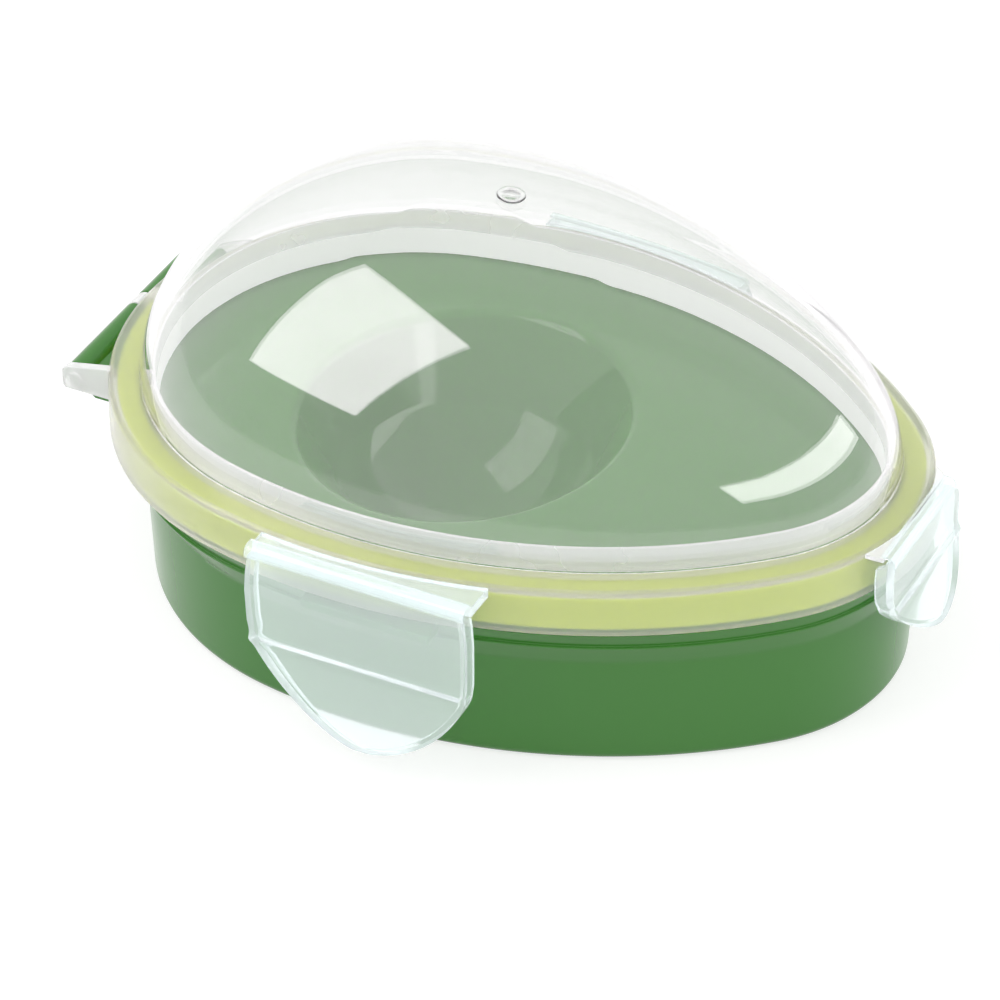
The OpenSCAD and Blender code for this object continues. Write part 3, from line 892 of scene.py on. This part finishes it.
tilts = [2.0 * k for k in range(44)] + [88.6]
outer = [egg_ring(0, SEAT_Z)] + [dome_ring(t, 0, DOME_H) for t in tilts]
inner = [egg_ring(-DOME_T, SEAT_Z)] + [dome_ring(t, -DOME_T, DOME_H - DOME_T) for t in tilts]
dome = skin("dome_shell", inner[::-1] + outer, poles=(True, True))
shade_smooth(dome)
place(dome, "lid", clear, "clear_plastic", "dome_cover")

# %% [markdown]
# ## Gate mark
# Near the top is the gate mark, a small ring where the plastic ran into the mould. Cutting it into the
# dome would leave kinks in the dome's shading, which clear plastic shows at once. So it is a thin ring of
# its own that lies on the dome, with its section carried round and each point lifted to the dome's
# height.

# %% Gate mark
GATE_DX = 9.0
GATE_SECTION = ((0.15, 0.03), (2.2, 0.03), (2.2, 0.14), (1.9, 0.24), (1.5, 0.24), (1.1, 0.1), (0.15, 0.1))
GATE_STEPS = 24
gate_x = DOME_TOP_X + GATE_DX
dome_reach = EGG_LEN / 2 - DOME_TOP_X


def on_dome(x, y):
    """Height of the dome's outside near its top."""
    out = math.hypot(x - DOME_TOP_X, y) / dome_reach
    return DOME_Z + DOME_H * (1 - out ** DOME_POWER) ** (1 / DOME_POWER)


gate_rings = []
for radius, lift in GATE_SECTION:
    ring = full_circle(gate_x, 0, radius, GATE_STEPS)
    gate_rings.append([(x, y, on_dome(x, y) + lift) for x, y in ring])
gate = skin("gate_mark", gate_rings, poles=(True, True))
round_edges(gate, 0.06, segments=2)
place(gate, "lid", clear, "clear_plastic")

# %% [markdown]
# ## The seal
# A soft ring of silicone fills the frame's channel and closes on the bowl's rim. A thin flap hangs from
# its outside, between the rim and the skirt, so that lime shows through the whole height of the frame.
# The flap is in this scene only, and a Boolean takes it away behind the hinge, where the knuckles stand.

# %% Seal
SEAL_Z = RIM_Z + 0.2
SEAL_IN = 0.2
SEAL_ROUND = 0.4
FLAP_Z = SKIRT_Z + 0.6
FLAP_IN, FLAP_OUT = RIM_OUT + 0.1, RIM_OUT + 0.22
seal_top = GASKET_TOP - 0.05
seal_levels = [(SEAL_IN, SEAL_Z + 0.6), (0.8, SEAL_Z), (RIM_OUT - SEAL_ROUND, SEAL_Z),
               (FLAP_IN, SEAL_Z + 0.5), (FLAP_IN, FLAP_Z), (FLAP_OUT, FLAP_Z),
               (FLAP_OUT, seal_top - SEAL_ROUND),
               (RIM_OUT - 0.3, seal_top), (0.6, seal_top), (SEAL_IN, seal_top - SEAL_ROUND)]
seal = skin("seal_ring", [egg_ring(o, z) for o, z in seal_levels], hoop=True)
flap_half = relief_half + 0.1
cut(seal, [prism("cut_flap", rectangle(PIN_X, -flap_half, PIN_X + RELIEF_REACH, flap_half),
                 FLAP_Z - 1, SEAL_Z + 0.4, "Z")])
round_edges(seal, 0.05, segments=2)
place(seal, "lid", lime, "lime_silicone", "gasket")

# %% [markdown]
# ## The latches
# A latch is a thin plate with side walls, a ridge across it and a lip that flares out for the finger. It
# could be a flat plate that is bent afterwards, but its outline, its flare and its walls change together.
# So it is drawn as level sections from top to bottom, each a shallow channel seen from above. The lower
# edge is round, so the sections get narrower, and their side walls shallower, towards the end.

# %% One section of a latch


def channel(left, right, out, inner, depth, rib):
    """A level section, seen from above: a plate with a side wall of this depth at each end."""
    middle = (left + right) / 2
    return [(left, out), ((3 * left + right) / 4, out), (middle, out), ((left + 3 * right) / 4, out),
            (right, out), (right, inner + depth), (right - rib, inner + depth), (right - rib, inner),
            (middle, inner), (left + rib, inner), (left + rib, inner + depth), (left, inner + depth)]


# %% [markdown]
# ## A whole latch
# The sections lie close together where the shape changes fast: about the ridge and at the very end. The
# side latches and the tip latch share this one drawing, and differ only in the sizes that are handed to
# it.

# %% Latch
WALL_DEPTH = 1.6
THIN_DEPTH = 0.15
LOWEST_SHIFT = 0.047
RIB_T = 1.1
BULGE = 0.8
SOFT_CORNER = 0.7
RIDGE_H = 0.5
RIDGE_W = 0.8
PLATE_LEVELS = (-0.5, -1.0, -1.4, -2.0, -4.0, -7.0)
RIDGE_LEVELS = (3, 2, 1.4, 0.9, 0.5, 0.2, 0)
LIP_LEVELS = (0.03, 0.07, 0.12, 0.2, 0.3, 0.4, 0.5, 0.6, 0.7, 0.78, 0.85, 0.9, 0.94, 0.97, 0.985, 0.995)


def latch(name, body, node, spot, width, length, lip, flare, far_round):
    """A latch drawn with its fold along X at the origin and its outside to -Y. spot moves its points."""
    ridge = lip - length
    low_x = LOWEST_SHIFT * width
    levels = [z for z in PLATE_LEVELS if z > ridge + RIDGE_LEVELS[0]]
    levels += [ridge + k for k in RIDGE_LEVELS]
    levels += [ridge - lip * u for u in LIP_LEVELS]
    sections = []
    for z in levels:
        # From 0 at the ridge to 1 at the lip's lower edge.
        u = max(0.0, (ridge - z) / lip)
        # Above the ridge the plate widens a little downwards, its left corner at the ridge is soft, and
        # far_round draws in its right side at the top. Below the ridge both sides run together at the
        # lowest point, the left one sooner.
        half = width / 2 - BULGE * max(0.0, 1 - z / (ridge * 0.5)) ** 2
        corner = SOFT_CORNER * math.exp(-(max(0.0, z - ridge) / 3) ** 2)
        left = low_x - (half - corner + low_x) * (1 - u ** 1.2) ** 0.66
        right = low_x + (half - low_x) * (1 - u ** 1.5) ** 0.5 - far_round * max(0.0, 1 + z / 3.2) ** 2
        # The lip flares out towards its edge, and the ridge stands out of the plate.
        out = -LATCH_T / 2 - flare * u ** 1.15 - RIDGE_H * math.exp(-((z - ridge) / RIDGE_W) ** 2)
        # The side walls start just below the fold, and fade out along the lip.
        wall_grows = min(1.0, max(0.0, -1.2 - z) / 0.8)
        depth = THIN_DEPTH + (WALL_DEPTH - THIN_DEPTH) * wall_grows * max(0.0, 1 - u)
        rib = min(RIB_T, (right - left) * 0.2)
        sections.append([spot(x, y, z) for x, y in channel(left, right, out, out + LATCH_T, depth, rib)])
    plate = skin(name, sections)
    round_edges(plate, 0.3)
    # The plate gets the latch plastic with its painted bluish glow.
    place(plate, body, hazy_with_painted_glow, "milky_plastic", node)


# %% [markdown]
# ## The latches' film hinges
# A latch and its ear are one moulding, joined by a thin film that bends. The film runs from the ear's top
# over the fold to the latch's outside, and follows both, with a smooth bend between them. Here it is a fixed
# shape in the closed pose, not attached to the latch's body. The film is a line of points, thickened to both
# sides.

# %% Film hinge
FILM_PATH = [(-1.5, 0.78), (-0.5, 0.8), (0.05, 0.72), (0.5, 0.4), (0.7, -0.1), (0.72, -0.9)]
FILM_HALF = 0.17


def film(name, body, low, high, spot):
    """A film from low to high along the fold. FILM_PATH lists how far out and how high its middle runs."""
    outline = []
    # Down one side of the path and back along the other.
    for side in (1, -1):
        edge = []
        for k, (u, v) in enumerate(FILM_PATH):
            u0, v0 = FILM_PATH[max(k - 1, 0)]
            u1, v1 = FILM_PATH[min(k + 1, len(FILM_PATH) - 1)]
            along = Vector((u1 - u0, v1 - v0)).normalized()
            edge.append((u - side * along.y * FILM_HALF, v + side * along.x * FILM_HALF))
        outline += edge[::side]
    band = skin(name, [[spot(x, -u, v) for u, v in outline] for x in (low, high)])
    round_edges(band, 0.08, segments=2)
    # The film gets the latch plastic with its painted bluish glow.
    band.data.materials.append(hazy_with_painted_glow)
    Vector(spot(0, 0.3, 0.8)) * MM
    Vector(spot(0, -0.7, -0.2)) * MM
    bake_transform(band)
    print(band.name, "has", len(band.data.polygons), "faces")


# %% [markdown]
# ## Three latches in place
# The front and the back latch are mirror images, and the tip latch is smaller and turned to the pointed
# end. Each place is a small function that takes a point of the drawing to the saver. That is safer than
# turning finished objects, because every piece keeps its own origin at zero.

# %% The three latches
AXIS_Z = FRAME_Z - 0.9
PLATE_X = SIDE_X - 0.4
TIP_PLATE_Y = -0.6
SIDE_LATCH = {"width": 36.2, "length": 28.0, "lip": 12.6, "flare": 3.0, "far_round": 0}
TIP_LATCH = {"width": 24.8, "length": 18.0, "lip": 8.6, "flare": 3.0, "far_round": 2.4}
SIDE_FILM = (-17.9, 17.9)
TIP_FILM = (-12.4, 10.4)


def front_spot(x, y, z):
    return (PLATE_X + x, -SIDE_AXIS_Y + y, AXIS_Z + z)


def back_spot(x, y, z):
    return (PLATE_X + x, SIDE_AXIS_Y - y, AXIS_Z + z)


def tip_spot(x, y, z):
    return (TIP_FOLD_X - y, TIP_PLATE_Y + x, AXIS_Z + z)


latch("front_latch_plate", "front_latch", "latch_front", front_spot, **SIDE_LATCH)
latch("back_latch_plate", "back_latch", "latch_back", back_spot, **SIDE_LATCH)
latch("tip_latch_plate", "tip_latch", "latch_tip", tip_spot, **TIP_LATCH)
film("front_film", "front_latch", *SIDE_FILM, front_spot)
film("back_film", "back_latch", *SIDE_FILM, back_spot)
film("tip_film", "tip_latch", *TIP_FILM, tip_spot)

# %% [markdown]
# ## What the picture shows and what gives light
# The photograph is a plain product shot on white. A room with a white floor and white walls would flood
# the saver with light and wash out its colours. So floor and world have two levels each: the one that the
# picture shows directly, and the one for the rays that carry light from piece to piece.

# %% Two levels of brightness


def seen_directly(tree, *rays):
    """1 for the rays that the picture shows, and 0 for those that carry light from piece to piece."""
    path = tree.nodes.new("ShaderNodeLightPath")
    seen = path.outputs[rays[0]]
    for ray in rays[1:]:
        larger = tree.nodes.new("ShaderNodeMath")
        larger.operation = "MAXIMUM"
        tree.links.new(seen, larger.inputs[0])
        tree.links.new(path.outputs[ray], larger.inputs[1])
        seen = larger.outputs["Value"]
    return seen


def two_levels(tree, seen, hidden_value, shown_value):
    """A node that gives the one value where seen is 0, and the other where it is 1."""
    level = tree.nodes.new("ShaderNodeMapRange")
    level.inputs["To Min"].default_value = hidden_value
    level.inputs["To Max"].default_value = shown_value
    tree.links.new(seen, level.inputs["Value"])
    return level


# %% [markdown]
# ## Floor
# The floor is a wide grey sheet with a glow that the picture alone sees, also in reflections and through
# the plastic. Grey plus glow comes out as white, and the saver's soft shadow stays on it, because only
# the grey part depends on the lamps.

# %% Floor
FLOOR_SIZE = 8
FLOOR_CELLS = 8
FLOOR_GREY = (0.5, 0.45)
FLOOR_GLOW = 0.66
start_alone()
bpy.ops.mesh.primitive_grid_add(x_subdivisions=FLOOR_CELLS, y_subdivisions=FLOOR_CELLS, size=FLOOR_SIZE)
floor = bpy.context.object
floor.name = floor.data.name = "floor"
bpy.ops.object.transform_apply(location=True, rotation=True, scale=True)
floor_paint, tree, shader = new_material("floor_paint", Roughness=0.9, Emission_Color=(1, 1, 1, 1))
seen = seen_directly(tree, "Is Camera Ray", "Is Glossy Ray", "Is Transmission Ray")
grey = two_levels(tree, seen, *FLOOR_GREY)
tree.links.new(grey.outputs["Result"], shader.inputs["Base Color"])
glow = two_levels(tree, seen, 0, FLOOR_GLOW)
tree.links.new(glow.outputs["Result"], shader.inputs["Emission Strength"])
floor.data.materials.append(floor_paint)
floor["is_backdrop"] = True
print("the floor is", FLOOR_SIZE, "m wide")

# %% [markdown]
# ## World
# The world lights the saver from all round, a little stronger from the horizon than from above, as pale
# walls about a table do. To the camera and in reflections it is plain white.

# %% World
ZENITH, HORIZON = 0.7, 1.08
world = bpy.data.worlds.new("studio")
bpy.context.scene.world = world
world.use_nodes = True
tree = world.node_tree
sky = tree.nodes["Background"]
sky.inputs["Color"].default_value = (1, 1, 1, 1)
coords = tree.nodes.new("ShaderNodeTexCoord")
axes = tree.nodes.new("ShaderNodeSeparateXYZ")
tree.links.new(coords.outputs["Generated"], axes.inputs["Vector"])
dim = two_levels(tree, axes.outputs["Z"], HORIZON, ZENITH)
level = two_levels(tree, seen_directly(tree, "Is Camera Ray", "Is Glossy Ray"), 0, 1)
tree.links.new(dim.outputs["Result"], level.inputs["To Min"])
tree.links.new(level.outputs["Result"], sky.inputs["Strength"])
print("world light:", HORIZON, "at the horizon and", ZENITH, "from above")

# %% [markdown]
# ## Lamps
# Two softboxes make the two reflections that the dome shows. A squarish one stands high on the camera's
# left and makes the window-like patch on the dome's left side. A long low one stands off the pointed end
# and makes the curved streak near the tip. Their directions follow from the places of these two patches.

# %% Lamps
LAMP_AIM = Vector((0, 0, 30)) * MM


def soft_lamp(name, direction, distance, size, turn, power, tint):
    """A softbox that looks at the middle of the saver from this direction, turned about its own axis."""
    data = bpy.data.lights.new(name, "AREA")
    data.shape = "RECTANGLE"
    data.size, data.size_y = size
    data.energy = power
    data.color = tint
    lamp = bpy.data.objects.new(name, data)
    bpy.context.scene.collection.objects.link(lamp)
    aim = Vector(direction).normalized()
    lamp.location = LAMP_AIM + aim * distance
    facing = aim.to_track_quat("Z", "Y").to_matrix() @ Matrix.Rotation(math.radians(turn), 3, "Z")
    lamp.rotation_euler = facing.to_euler()
    print(name, "gives", power, "W from", distance, "m away")


soft_lamp("key", direction=(-0.509, -0.409, 0.757), distance=1.2, size=(0.7, 0.94), turn=15,
          power=5, tint=(1, 0.9, 1))
soft_lamp("strip", direction=(0.924, 0.084, 0.40), distance=1.3, size=(2.0, 0.3), turn=-3,
          power=4.5, tint=(1, 0.96, 1))

# %% [markdown]
# ## View settings
# Blender's film-like views soften strong colours. The standard view shows a colour about as it is
# written, which is what a part for reuse needs.

# %% View settings
bpy.context.scene.view_settings.view_transform = "Standard"
print("view transform:", bpy.context.scene.view_settings.view_transform)

# %% [markdown]
# The box of the finished pieces is printed in millimetres. The finished pieces have to fill the CAD
# model's box and stay inside it. Both boxes are written down, so that they can be compared after each
# render.

low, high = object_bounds()
print("visual box in mm:", [round(v / MM, 1) for v in (*low, *high)])
